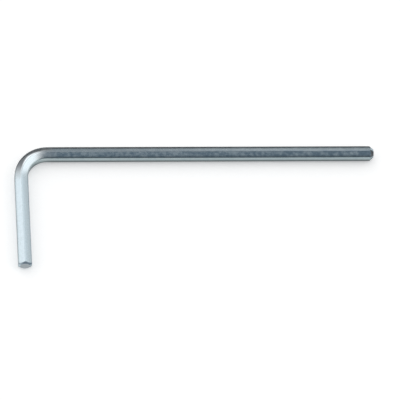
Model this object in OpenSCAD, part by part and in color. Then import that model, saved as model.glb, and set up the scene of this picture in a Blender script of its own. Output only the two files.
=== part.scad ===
// Hex key: one length of bright drawn hexagon bar, bent once to a right angle.
// It lies flat, with a corner of the hexagon underneath and a corner on top.
// The long arm runs along X and the short arm points to -Y.

/* [Section] */
// Width across the flats, a sixteenth of an inch, which is the key's size
across_flats = 1.5875; // [1.3:0.0125:2.5]
// Radius of the bar's six rounded corners
corner_radius = 0.22; // [0.1:0.01:0.3]

/* [Arms] */
// Length of the long arm, from the outside of the short arm
long_arm = 43; // [36:0.5:60]
// Length of the short arm, from the outside of the long arm
short_arm = 15.6; // [12:0.1:24]
// Radius of the inside of the bend
bend_radius = 2.4; // [1.6:0.05:5]

/* [Tips] */
// Diameter of the flat end of the long arm
long_end_d = 1; // [0.5:0.05:1.1]
// Angle between the long arm's turned chamfer and the arm
long_tip_angle = 40; // [35:1:65]
// Diameter of the flat end of the short arm
short_end_d = 1.15; // [0.5:0.05:1.25]
// Angle between the short arm's turned chamfer and the arm
short_tip_angle = 60; // [35:1:65]

/* [Hidden] */

sides = 6;
side_angle = 360 / sides;
// Chords that draw each corner's arc
corner_steps = 6;
// How finely a full turn is drawn
curve_fn = 96;
half_flats = across_flats / 2;
// From the bar's axis to the centre of a corner's arc
corner_centre = (half_flats - corner_radius) / cos(side_angle / 2);
// From the bar's axis to the crest of a corner
crest = corner_centre + corner_radius;
// Radius of the bar's axis round the bend
axis_radius = bend_radius + half_flats;
// Each arm's straight length, beyond the bend
long_straight = long_arm - across_flats - bend_radius;
short_straight = short_arm - across_flats - bend_radius;
// Centre of the bend, with the key's box centred on X and Y
bend_x = across_flats + bend_radius - long_arm / 2;
bend_y = short_arm / 2 - across_flats - bend_radius;

// A point at a distance and an angle from the origin
function polar(r, angle) = r * [cos(angle), sin(angle)];

// The arc round one corner, which runs smoothly into the flats on both sides
function corner_arc(facing) = [
    for (k = [0:corner_steps])
        polar(corner_centre, facing) + polar(corner_radius, facing + (k / corner_steps - 0.5) * side_angle)
];

// The bar's section: six flats and six rounded corners, with one corner on top
module bar_section() {
    polygon([for (i = [0:sides - 1]) each corner_arc(90 + i * side_angle)]);
}

// The form that turning leaves: a cylinder that clears the bar, with a coned and faced end
module turned_blank(length, end_d, tip_angle) {
    clear_r = 2 * crest;
    end_r = end_d / 2;
    cone = (clear_r - end_r) / tan(tip_angle);
    rotate_extrude($fn = curve_fn)
        polygon([[0, 0], [clear_r, 0], [clear_r, length - cone], [end_r, length], [0, length]]);
}

// One straight arm along Z, from its joint with the bend to its turned tip
module arm(length, end_d, tip_angle) {
    intersection() {
        linear_extrude(length) bar_section();
        turned_blank(length, end_d, tip_angle);
    }
}

// The bar carried a quarter of a turn round the bend
module bend() {
    rotate([0, 0, 90])
        rotate_extrude(angle = 90, $fn = curve_fn)
            translate([axis_radius, 0]) bar_section();
}

module hex_key() {
    color("lightsteelblue")
        translate([bend_x, bend_y, crest]) {
            bend();
            translate([0, axis_radius, 0]) rotate([90, 0, 90])
                arm(long_straight, long_end_d, long_tip_angle);
            translate([-axis_radius, 0, 0]) rotate([90, 0, 0])
                arm(short_straight, short_end_d, short_tip_angle);
        }
}

hex_key();
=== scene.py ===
import math

import bpy
from mathutils import Matrix, Vector


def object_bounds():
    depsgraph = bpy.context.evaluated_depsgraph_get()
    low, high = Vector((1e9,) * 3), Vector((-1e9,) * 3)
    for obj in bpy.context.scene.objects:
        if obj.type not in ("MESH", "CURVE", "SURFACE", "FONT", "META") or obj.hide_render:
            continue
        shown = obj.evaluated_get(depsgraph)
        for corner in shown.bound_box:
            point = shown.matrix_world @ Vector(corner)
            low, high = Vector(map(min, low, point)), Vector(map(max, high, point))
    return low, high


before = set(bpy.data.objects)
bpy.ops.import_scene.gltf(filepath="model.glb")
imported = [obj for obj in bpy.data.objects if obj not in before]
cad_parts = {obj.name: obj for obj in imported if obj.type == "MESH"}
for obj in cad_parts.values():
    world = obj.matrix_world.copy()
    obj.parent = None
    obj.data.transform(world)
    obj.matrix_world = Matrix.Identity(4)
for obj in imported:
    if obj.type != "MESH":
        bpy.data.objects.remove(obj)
cad_low, cad_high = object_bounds()

# Sizes are in metres, and this is a millimetre
MM = 0.001

# The bar's own sizes, as in the solid
ACROSS_FLATS = 0.0015875
BEND_RADIUS = 0.0024
CREST = (cad_high.z - cad_low.z) / 2
AXIS_RADIUS = BEND_RADIUS + ACROSS_FLATS / 2
BEND_LENGTH = AXIS_RADIUS * math.pi / 2
BEND_X = cad_low.x + ACROSS_FLATS + BEND_RADIUS
BEND_Y = cad_high.y - ACROSS_FLATS - BEND_RADIUS
# Half of the angle that each of the six flats takes up
HALF_FLAT = math.radians(30)
# Longer than either turned tip
TIP_LENGTH = 0.0006

# How squarely a tip's face points along its arm, at the least, on a chamfer and on a flat end
CHAMFER_FACING = 0.3
END_FACING = 0.95

# The smoothing welds corners that are closer than this, and keeps edges sharper than this angle
WELD_DISTANCE = 1e-7
SHARP_ANGLE = math.radians(25)

# Tones of the worn long arm: its mottling, and the painted shade along the outer half, darkest at the
# bend and paling toward the tip
LONG_DULL = (0.38, 0.475, 0.55, 1)
LONG_BRIGHT = (0.66, 0.74, 0.78, 1)
BAND_SHADE_AT_BEND = (0.33, 0.41, 0.46, 1)
BAND_SHADE_AT_TIP = (0.7, 0.83, 0.9, 1)
# Tones of the smoother short arm: its outer half, and the inner flat, with painted shade at its foot and
# a painted highlight toward the crest
SHORT_DULL = (0.61, 0.705, 0.76, 1)
SHORT_BRIGHT = (0.65, 0.75, 0.81, 1)
SHORT_FOOT_SHADE = (0.54, 0.635, 0.685, 1)
SHORT_CREST_HIGHLIGHT = (0.61, 0.725, 0.79, 1)
# Painted highlights in the bend
BEND_START_HIGHLIGHT = (0.76, 0.79, 0.81, 1)
BEND_HIGHLIGHT = (0.82, 0.86, 0.88, 1)
# Painted shade on the sides, in the dark lines and on the tips' chamfers, and the tones of the tips' flat
# ends
SIDE_SHADE = (0.4, 0.48, 0.49, 1)
CREST_AND_FOOT_SHADE = (0.14, 0.17, 0.195, 1)
LOWER_SHADE = (0.15, 0.17, 0.175, 1)
RIM_SHADE = (0.12, 0.13, 0.14, 1)
LONG_CHAMFER_SHADE = (0.13, 0.14, 0.15, 1)
SHORT_CHAMFER_SHADE = (0.15, 0.195, 0.235, 1)
END_DULL = (0.36, 0.4, 0.42, 1)
END_BRIGHT = (0.52, 0.56, 0.59, 1)
# The plating's tint where it is seen at a glancing angle
GLANCING_TINT = (0.4, 0.4, 0.4, 1)

# The floor's paper, near the key and far from it, where painted shade greys it like light falling off
FLOOR_HALF_SIDE = 3.0
NEAR_PAPER = (0.8, 0.8, 0.8, 1)
FAR_PAPER_SHADE = (0.45, 0.45, 0.45, 1)
# What the paper adds to its own light where it is seen, so that it shows as white
FLOOR_WHITENING = 0.33

# Levels of the light, where 1 is white
TENT_LEVEL = 1.0
TENT_TOP_LEVEL = 1.35
PANEL_LEVEL = 1.27
HORIZON_LEVEL = 0.12
# How much of the tent's level its back keeps
TENT_BACK_SHARE = 0.62
# Where the two panels hang, seen from the key, and how wide they are
BACK_PANEL = (-0.45, 0.83, 0.33)
RIGHT_PANEL = (0.743, -0.1, 0.66)
PANEL_INNER_ANGLE = math.radians(20)
PANEL_OUTER_ANGLE = math.radians(35)
# The dark opening in front, from its foot to its top
OPENING_FOOT = (0.36, 0.4, 0.42, 1)
OPENING_MIDDLE = (0.07, 0.085, 0.1, 1)
OPENING_TOP = (0.13, 0.185, 0.228, 1)

# The photograph's frame and the camera that was fitted to the key in it
IMAGE_SIDE_PX = 400
SENSOR_MM = 36
CAMERA_AZIMUTH = math.radians(-14.21)
CAMERA_ELEVATION = math.radians(60.997)
CAMERA_ROLL = math.radians(12.214)
CAMERA_DISTANCE = 300 * ACROSS_FLATS
PIXELS_PER_METRE = 13.451 / ACROSS_FLATS
LOOK_AT = Vector((0.000309, 0.000766, 0.000993))
NEAREST_SEEN = 0.01
FARTHEST_SEEN = 10


class Wire:
    """A value in a node tree, which takes part in plain arithmetic."""

    def __init__(self, tree, socket):
        self.tree = tree
        self.socket = socket

    def maths(self, operation, *others):
        node = self.tree.nodes.new("ShaderNodeMath")
        node.operation = operation
        for slot, value in enumerate((self, *others)):
            feed(self.tree, node.inputs[slot], value)
        return Wire(self.tree, node.outputs[0])

    def __add__(self, other):
        return self.maths("ADD", other)

    def __sub__(self, other):
        return self.maths("SUBTRACT", other)

    def __mul__(self, other):
        return self.maths("MULTIPLY", other)

    def __truediv__(self, other):
        return self.maths("DIVIDE", other)

    def __neg__(self):
        return self * -1

    def at_least(self, other):
        return self.maths("MAXIMUM", other)

    def at_most(self, other):
        return self.maths("MINIMUM", other)

    def above(self, other):
        return self.maths("GREATER_THAN", other)

    def magnitude(self):
        return self.maths("ABSOLUTE")

    def root(self):
        return self.maths("SQRT")

    def angle_to(self, other):
        return self.maths("ARCTAN2", other)

    def inverse(self):
        """One where this is 0 and nothing where it is 1."""
        return -self + 1

    def step(self, start, end):
        """Rises smoothly from 0 at start to 1 at end."""
        node = self.tree.nodes.new("ShaderNodeMapRange")
        node.interpolation_type = "SMOOTHSTEP"
        feed(self.tree, node.inputs["Value"], self)
        feed(self.tree, node.inputs["From Min"], start)
        feed(self.tree, node.inputs["From Max"], end)
        return Wire(self.tree, node.outputs[0])

    def between(self, low, high):
        """Low where this is 0 and high where it is 1."""
        return self * (high - low) + low

    def blend(self, low, high):
        """The colour low where this is 0 and the colour high where it is 1."""
        node = self.tree.nodes.new("ShaderNodeMix")
        node.data_type = "RGBA"
        feed(self.tree, node.inputs[0], self)
        feed(self.tree, node.inputs[6], low)
        feed(self.tree, node.inputs[7], high)
        return Wire(self.tree, node.outputs[2])


def feed(tree, socket, value):
    """Gives a node's input a wire or a plain value."""
    if isinstance(value, Wire):
        tree.links.new(value.socket, socket)
    else:
        socket.default_value = value


def split(tree, socket):
    node = tree.nodes.new("ShaderNodeSeparateXYZ")
    tree.links.new(socket, node.inputs[0])
    return [Wire(tree, output) for output in node.outputs]


def join(tree, x, y, z):
    node = tree.nodes.new("ShaderNodeCombineXYZ")
    for socket, value in zip(node.inputs, (x, y, z)):
        feed(tree, socket, value)
    return Wire(tree, node.outputs[0])


def noise(tree, place, detail, roughness=0.5):
    """Cloudy noise from 0 to 1, about 0.5."""
    node = tree.nodes.new("ShaderNodeTexNoise")
    feed(tree, node.inputs["Vector"], place)
    node.inputs["Scale"].default_value = 1.0
    node.inputs["Detail"].default_value = detail
    node.inputs["Roughness"].default_value = roughness
    return Wire(tree, node.outputs[0])


def new_material(name):
    material = bpy.data.materials.new(name)
    material.use_nodes = True
    tree = material.node_tree
    tree.nodes.clear()
    output = tree.nodes.new("ShaderNodeOutputMaterial")
    shader = tree.nodes.new("ShaderNodeBsdfPrincipled")
    tree.links.new(shader.outputs[0], output.inputs["Surface"])
    return material, tree, shader


class Bar:
    """Where a point of the key lies in its bar, with the masks and noises that its tones share."""

    def __init__(self, tree):
        x, y, z = split(tree, tree.nodes.new("ShaderNodeTexCoord").outputs["Object"])
        past_x = x - BEND_X
        past_y = y - BEND_Y
        bend_x = past_x.at_most(0)
        bend_y = past_y.at_least(0)
        # Radians round the bend, from the long arm to the short one
        self.turn = (-bend_x).angle_to(bend_y)
        # Along the bar, above 0 on the long arm and below 0 in the bend and on the short arm
        self.along = past_x.at_least(0) + past_y.at_most(0) - self.turn * AXIS_RADIUS
        # From the bar's axis, toward the outside of the bend and upward
        self.outward = (bend_x * bend_x + bend_y * bend_y).root() - AXIS_RADIUS
        self.up = z - CREST
        # The same, across the upper flat on the inside of the bend and square to it
        self.across = self.outward * math.cos(HALF_FLAT) + self.up * math.sin(HALF_FLAT)
        self.facing = self.up * math.cos(HALF_FLAT) - self.outward * math.sin(HALF_FLAT)
        self.add_masks()
        self.add_noises(tree)
        self.add_tips(tree)

    def add_masks(self):
        """One on the long arm, in the bend, on the bar's outer half, and toward the long arm's tip."""
        self.on_long = self.turn.step(0.05, 0.6).inverse()
        past_start = (-self.along).step(-1.2 * MM, 0.8 * MM)
        before_end = (self.along + BEND_LENGTH).step(-1.0 * MM, 1.7 * MM)
        self.on_bend = past_start * before_end
        self.outer_half = self.outward.step(0, 0.1 * MM)
        self.toward_tip = self.along.step(5 * MM, 35 * MM)

    def add_noises(self, tree):
        """Patches, lines drawn along the bar, fine grain, and rings round the axis."""
        patch_waves = (1900, 2000)
        line_waves = (300, 7000)
        grain_waves = (6000, 6000)
        ring_waves = 30000
        self.patches = noise(tree, self.waves(tree, *patch_waves), detail=3, roughness=0.6)
        self.lines = noise(tree, self.waves(tree, *line_waves), detail=2)
        self.grain = noise(tree, self.waves(tree, *grain_waves), detail=2)
        from_axis = (self.outward * self.outward + self.up * self.up).root()
        self.rings = noise(tree, join(tree, from_axis * ring_waves, 0, 0), detail=1)

    def waves(self, tree, lengthwise, crosswise):
        """A place for noise with so many waves in a metre along the bar and across it."""
        return join(tree, self.along * lengthwise, self.outward * crosswise, self.up * crosswise)

    def add_tips(self, tree):
        """One on the long arm's turned chamfer, on the short arm's, and on both flat ends."""
        node = tree.nodes.new("ShaderNodeTexCoord")
        x, y, _ = split(tree, node.outputs["Object"])
        normal_x, normal_y, _ = split(tree, node.outputs["Normal"])
        long_tip = x.above(cad_high.x - TIP_LENGTH) * normal_x
        short_tip = (-y).above(-cad_low.y - TIP_LENGTH) * -normal_y
        long_end = long_tip.above(END_FACING)
        short_end = short_tip.above(END_FACING)
        self.long_chamfer = long_tip.above(CHAMFER_FACING) - long_end
        self.short_chamfer = short_tip.above(CHAMFER_FACING) - short_end
        self.end = long_end + short_end


def arm_colour(bar):
    """The mottled long arm, with painted shade on its outer half that pales toward the tip, and the
    smoother short arm, with painted shade toward the foot of its inner flat.
    """
    patch_share = 0.8
    line_share = 0.2
    lift = 0.02
    # The long arm's mottling is a little darker toward its tip
    tip_darkening = 0.06
    outer_half_shade_share = 0.8
    mottling = bar.patches * patch_share + bar.lines * line_share - bar.toward_tip * tip_darkening + lift
    tone = mottling.step(0.34, 0.64)
    # Painted shade on the outer half of the long arm, darkest by the bend and paling toward the tip
    outer_half_shade = bar.along.step(0, 30 * MM).blend(BAND_SHADE_AT_BEND, BAND_SHADE_AT_TIP)
    long_arm = (bar.outer_half * outer_half_shade_share).blend(tone.blend(LONG_DULL, LONG_BRIGHT), outer_half_shade)
    uneven = (tone - 0.5) * (0.1 * MM)
    # Painted shade at the foot of the short arm's inner flat, rising to a painted highlight at the crest
    from_foot = (bar.across + uneven).step(-0.35 * MM, 0.44 * MM)
    inner_flat_shade = from_foot.blend(SHORT_FOOT_SHADE, SHORT_CREST_HIGHLIGHT)
    short_arm = bar.outer_half.blend(inner_flat_shade, tone.blend(SHORT_DULL, SHORT_BRIGHT))
    return bar.on_long.blend(short_arm, long_arm)


def paint_bend_highlight(bar, colour):
    """Painted highlight on the inner half where the bend starts, and all round the bend, most outside."""
    start_share = 0.9
    inner_share = 0.4
    outer_share = 0.8
    past_start = (-bar.along).step(-1.8 * MM, 0.4 * MM)
    near_start = bar.along.step(-2.2 * MM, -0.4 * MM)
    start = near_start * past_start * bar.outer_half.inverse()
    colour = (start * start_share).blend(colour, BEND_START_HIGHLIGHT)
    light = bar.on_bend * bar.outer_half.between(inner_share, outer_share)
    return light.blend(colour, BEND_HIGHLIGHT)


def side_shade_mask(bar):
    """Painted shade on the upright sides, both of them on the long arm and only the outer one on the
    short arm.
    """
    long_share = 0.8
    short_share = 0.25
    upright = bar.outward.magnitude().step(0.58 * MM, 0.7 * MM)
    return upright * bar.turn.step(0.8, 1.5).between(long_share, bar.outer_half * short_share)


def crest_and_foot_shade_mask(bar):
    """Painted shade in dark lines on the long arm: along the crest, and along the foot of the inner upper
    flat.
    """
    share_at_bend = 0.9
    share_at_tip = 0.75
    foot_share = 0.5
    crest = bar.across.step(0.27 * MM, 0.36 * MM) * (-bar.outward).step(-0.12 * MM, -0.02 * MM)
    crest = crest * bar.toward_tip.between(share_at_bend, share_at_tip)
    crest = crest * bar.along.step(-1.6 * MM, -0.2 * MM)
    foot = (-bar.across).step(0.05 * MM, 0.28 * MM) * bar.facing.step(0.74 * MM, 0.77 * MM)
    foot = foot * foot_share * bar.along.step(-1.8 * MM, 0.8 * MM)
    return crest.at_least(foot)


def lower_shade_mask(bar):
    """Painted shade on the lower half of the long arm, which fades out round the bend."""
    bend_share = 0.45
    long_share = 0.9
    low = (-bar.up).step(-0.1 * MM, 0.2 * MM)
    share = bar.along.step(-1.2 * MM, 0.8 * MM).between(bend_share, long_share)
    return low * bar.turn.step(0.7, 1.2).inverse() * share


def rim_shade_mask(bar):
    """A strip of painted shade along the top of the long arm and round the outside of the bend."""
    long_share = 0.9
    bend_share = 0.95
    narrowest_turn = 0.75
    widening_a_radian = 0.4 * MM
    most_widening = 0.18 * MM
    long_rim = bar.outward.step(0.25 * MM, 0.7 * MM) * bar.on_long * long_share
    wider = ((bar.turn - narrowest_turn).magnitude() * widening_a_radian).at_most(most_widening)
    bend_rim = (bar.outward + wider).step(0.17 * MM, 0.39 * MM) * bar.on_bend * bend_share
    return long_rim.at_least(bend_rim) * bar.up.step(0.1 * MM, 0.3 * MM)


def darken_tips(bar, colour):
    """Painted shade on top of the chamfers, and flat ends with turning marks."""
    # The long chamfer has painted shade where it cuts the inner upper flat and a little below it, and is
    # a little darker elsewhere
    lowering = 0.04 * MM
    long_share_elsewhere = 0.15
    short_share_outside = 0.6
    inside_flat = bar.facing * math.tan(HALF_FLAT) - (bar.across + lowering).magnitude()
    on_flat = inside_flat.step(-0.04 * MM, 0.04 * MM)
    long_shade = bar.long_chamfer * on_flat.between(long_share_elsewhere, 1.0)
    colour = long_shade.blend(colour, LONG_CHAMFER_SHADE)
    # The short chamfer has painted shade on top, less on its outer side
    outside = bar.outward.step(0.2 * MM, 0.6 * MM)
    short_shade = bar.short_chamfer * bar.up.step(0, 0.4 * MM) * outside.between(1.0, short_share_outside)
    colour = short_shade.blend(colour, SHORT_CHAMFER_SHADE)
    return bar.end.blend(colour, bar.rings.blend(END_DULL, END_BRIGHT))


def plating_colour_with_painted_light(bar):
    colour = paint_bend_highlight(bar, arm_colour(bar))
    colour = side_shade_mask(bar).blend(colour, SIDE_SHADE)
    colour = crest_and_foot_shade_mask(bar).blend(colour, CREST_AND_FOOT_SHADE)
    colour = lower_shade_mask(bar).blend(colour, LOWER_SHADE)
    colour = rim_shade_mask(bar).blend(colour, RIM_SHADE)
    return darken_tips(bar, colour)


def plating_height(bar):
    """The height in metres that the bump follows: uneven plating, and slightly rounded outer flats.

    A slope and a curve round those of the long arm, and a curve alone those of the bend.
    """
    inner_patches = 5e-6
    outer_patches = 1.5e-6
    line_height = 8e-7
    grain_height = 2e-7
    ring_height = 1e-6
    long_slope = 0.09
    long_curve = 50
    bend_curve = 140
    bend_curve_start = 0.35 * MM
    patches = (bar.patches - 0.5) * bar.outer_half.between(inner_patches, outer_patches)
    marks = bar.lines * line_height + bar.grain * grain_height + bar.rings * bar.end * ring_height
    straight = bar.turn.step(0, 0.3).inverse()
    outer = bar.outward.at_least(0)
    past_start = (bar.outward - bend_curve_start).at_least(0)
    long_arm = (outer * long_slope - outer * outer * long_curve) * straight
    return patches + marks + long_arm - past_start * past_start * bar.on_bend * bend_curve


def plated_steel():
    """Bright plated steel, drawn along the bar, mottled on the long arm and smoother on the short one.

    Its colour has painted shade on the upright sides, in lines along the long arm, round the outside of
    the bend and on top of the chamfers, and painted highlights in the bend.
    """
    smoothest = 0.15
    roughest = 0.19
    turned_roughness = 0.35
    material, tree, shader = new_material("plated_steel_worn_with_painted_light")
    bar = Bar(tree)
    feed(tree, shader.inputs["Base Color"], plating_colour_with_painted_light(bar))
    shader.inputs["Metallic"].default_value = 1.0
    shader.inputs["Specular Tint"].default_value = GLANCING_TINT
    roughness = bar.patches.step(0.38, 0.62).between(smoothest, roughest)
    turned = (bar.long_chamfer + bar.end) * turned_roughness
    feed(tree, shader.inputs["Roughness"], roughness.at_least(turned))
    bump = tree.nodes.new("ShaderNodeBump")
    bump.inputs["Strength"].default_value = 1.0
    bump.inputs["Distance"].default_value = 1.0
    feed(tree, bump.inputs["Height"], plating_height(bar))
    tree.links.new(bump.outputs[0], shader.inputs["Normal"])
    return material


def smooth_shading(key):
    """Shades the bend and the rounded corners smoothly, and leaves the tips' edges sharp."""
    group = bpy.data.node_groups.new("smooth_shading", "GeometryNodeTree")
    group.interface.new_socket("Geometry", in_out="INPUT", socket_type="NodeSocketGeometry")
    group.interface.new_socket("Geometry", in_out="OUTPUT", socket_type="NodeSocketGeometry")
    first = group.nodes.new("NodeGroupInput")
    plain = group.nodes.new("GeometryNodeRemoveAttribute")
    plain.inputs["Name"].default_value = "custom_normal"
    weld = group.nodes.new("GeometryNodeMergeByDistance")
    weld.inputs["Distance"].default_value = WELD_DISTANCE
    faces = group.nodes.new("GeometryNodeSetShadeSmooth")
    faces.domain = "FACE"
    edges = group.nodes.new("GeometryNodeSetShadeSmooth")
    edges.domain = "EDGE"
    edges.inputs["Shade Smooth"].default_value = False
    angle = group.nodes.new("GeometryNodeInputMeshEdgeAngle")
    sharp = group.nodes.new("FunctionNodeCompare")
    sharp.operation = "GREATER_THAN"
    sharp.inputs["B"].default_value = SHARP_ANGLE
    last = group.nodes.new("NodeGroupOutput")
    chain = (first, plain, weld, faces, edges, last)
    for before, after in zip(chain, chain[1:]):
        group.links.new(before.outputs["Geometry"], after.inputs["Geometry"])
    group.links.new(angle.outputs["Unsigned Angle"], sharp.inputs["A"])
    group.links.new(sharp.outputs["Result"], edges.inputs["Selection"])
    key.modifiers.new("smooth_shading", "NODES").node_group = group
    weighted = key.modifiers.new("flat_flats", "WEIGHTED_NORMAL")
    weighted.keep_sharp = True


def paper():
    """White where it is seen near the key, and greyer far away, as painted falloff of the light."""
    material, tree, shader = new_material("floor_paper")
    x, y, _ = split(tree, tree.nodes.new("ShaderNodeTexCoord").outputs["Object"])
    far = (x * x + y * y).root().step(0.05, 0.25)
    feed(tree, shader.inputs["Base Color"], far.blend(NEAR_PAPER, FAR_PAPER_SHADE))
    shader.inputs["Roughness"].default_value = 1.0
    shader.inputs["Specular IOR Level"].default_value = 0.0
    path = tree.nodes.new("ShaderNodeLightPath")
    seen = Wire(tree, path.outputs["Is Camera Ray"])
    seen = seen.at_least(Wire(tree, path.outputs["Is Glossy Ray"]))
    seen = seen.at_least(Wire(tree, path.outputs["Is Transmission Ray"]))
    shader.inputs["Emission Color"].default_value = (1, 1, 1, 1)
    feed(tree, shader.inputs["Emission Strength"], seen * far.inverse() * FLOOR_WHITENING)
    return material


def floor():
    """A plain pale floor under the key."""
    side = FLOOR_HALF_SIDE
    mesh = bpy.data.meshes.new("floor")
    corners = [(-side, -side, 0), (side, -side, 0), (side, side, 0), (-side, side, 0)]
    mesh.from_pydata(corners, [], [(0, 1, 2, 3)])
    plane = bpy.data.objects.new("floor", mesh)
    bpy.context.scene.collection.objects.link(plane)
    mesh.materials.append(paper())


def panel(direction, centre):
    """A soft round panel of light: one near its centre and nothing beyond its outer angle."""
    centre = Vector(centre).normalized()
    x, y, z = direction
    nearness = x * centre.x + y * centre.y + z * centre.z
    return nearness.step(math.cos(PANEL_OUTER_ANGLE), math.cos(PANEL_INNER_ANGLE))


def tent_level(direction, backward):
    """How bright the tent is: brighter on top, greyer at the back, with two panels and a dim horizon."""
    x, y, z = direction
    back = backward.step(0.5, 0.9) * z.step(0.7, 0.9).inverse()
    tent = z.step(0.85, 0.97).between(TENT_LEVEL, TENT_TOP_LEVEL) * back.between(1.0, TENT_BACK_SHARE)
    panels = panel(direction, BACK_PANEL).at_least(panel(direction, RIGHT_PANEL))
    tent = tent + (-tent + PANEL_LEVEL) * panels
    # The horizon's dim foot reaches higher on the right
    foot_top = x.step(-0.15, 0.6).between(0.09, 0.5)
    return z.step(0.03, foot_top).between(HORIZON_LEVEL, tent)


def studio_light():
    """A white tent round the key, with a dark opening in front for the camera."""
    world = bpy.data.worlds.new("studio")
    world.use_nodes = True
    bpy.context.scene.world = world
    tree = world.node_tree
    tree.nodes.clear()
    output = tree.nodes.new("ShaderNodeOutputWorld")
    light = tree.nodes.new("ShaderNodeBackground")
    tree.links.new(light.outputs[0], output.inputs["Surface"])

    direction = split(tree, tree.nodes.new("ShaderNodeTexCoord").outputs["Generated"])
    x, y, z = direction
    level_part = (x * x + y * y).root().at_least(1e-6)
    backward = y / level_part
    opening = (-backward).step(0.35, 1.08) * z.step(0.85, 0.98).inverse()
    dark = z.step(0.65, 0.95).blend(OPENING_MIDDLE, OPENING_TOP)
    dark = z.step(0.45, 0.75).blend(OPENING_FOOT, dark)
    feed(tree, light.inputs["Color"], opening.blend(tent_level(direction, backward), dark))


def camera():
    """The camera of the photograph, in the frame's own axes."""
    toward_camera = Vector((
        math.sin(CAMERA_AZIMUTH) * math.cos(CAMERA_ELEVATION),
        -math.cos(CAMERA_AZIMUTH) * math.cos(CAMERA_ELEVATION),
        math.sin(CAMERA_ELEVATION),
    ))
    level_right = Vector((math.cos(CAMERA_AZIMUTH), math.sin(CAMERA_AZIMUTH), 0))
    level_up = toward_camera.cross(level_right)
    right = math.cos(CAMERA_ROLL) * level_right + math.sin(CAMERA_ROLL) * level_up
    up = toward_camera.cross(right)
    data = bpy.data.cameras.new("camera")
    data.sensor_width = SENSOR_MM
    data.lens = SENSOR_MM * PIXELS_PER_METRE * CAMERA_DISTANCE / IMAGE_SIDE_PX
    data.clip_start = NEAREST_SEEN
    data.clip_end = FARTHEST_SEEN
    made = bpy.data.objects.new("camera", data)
    bpy.context.scene.collection.objects.link(made)
    place = LOOK_AT + CAMERA_DISTANCE * toward_camera
    axes = Matrix((right, up, toward_camera)).transposed()
    made.matrix_world = Matrix.Translation(place) @ axes.to_4x4()
    bpy.context.scene.camera = made


bpy.context.scene.view_settings.view_transform = "Standard"
camera()
floor()
studio_light()
hex_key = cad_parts["hex_key"]
smooth_shading(hex_key)
hex_key.material_slots[0].material = plated_steel()
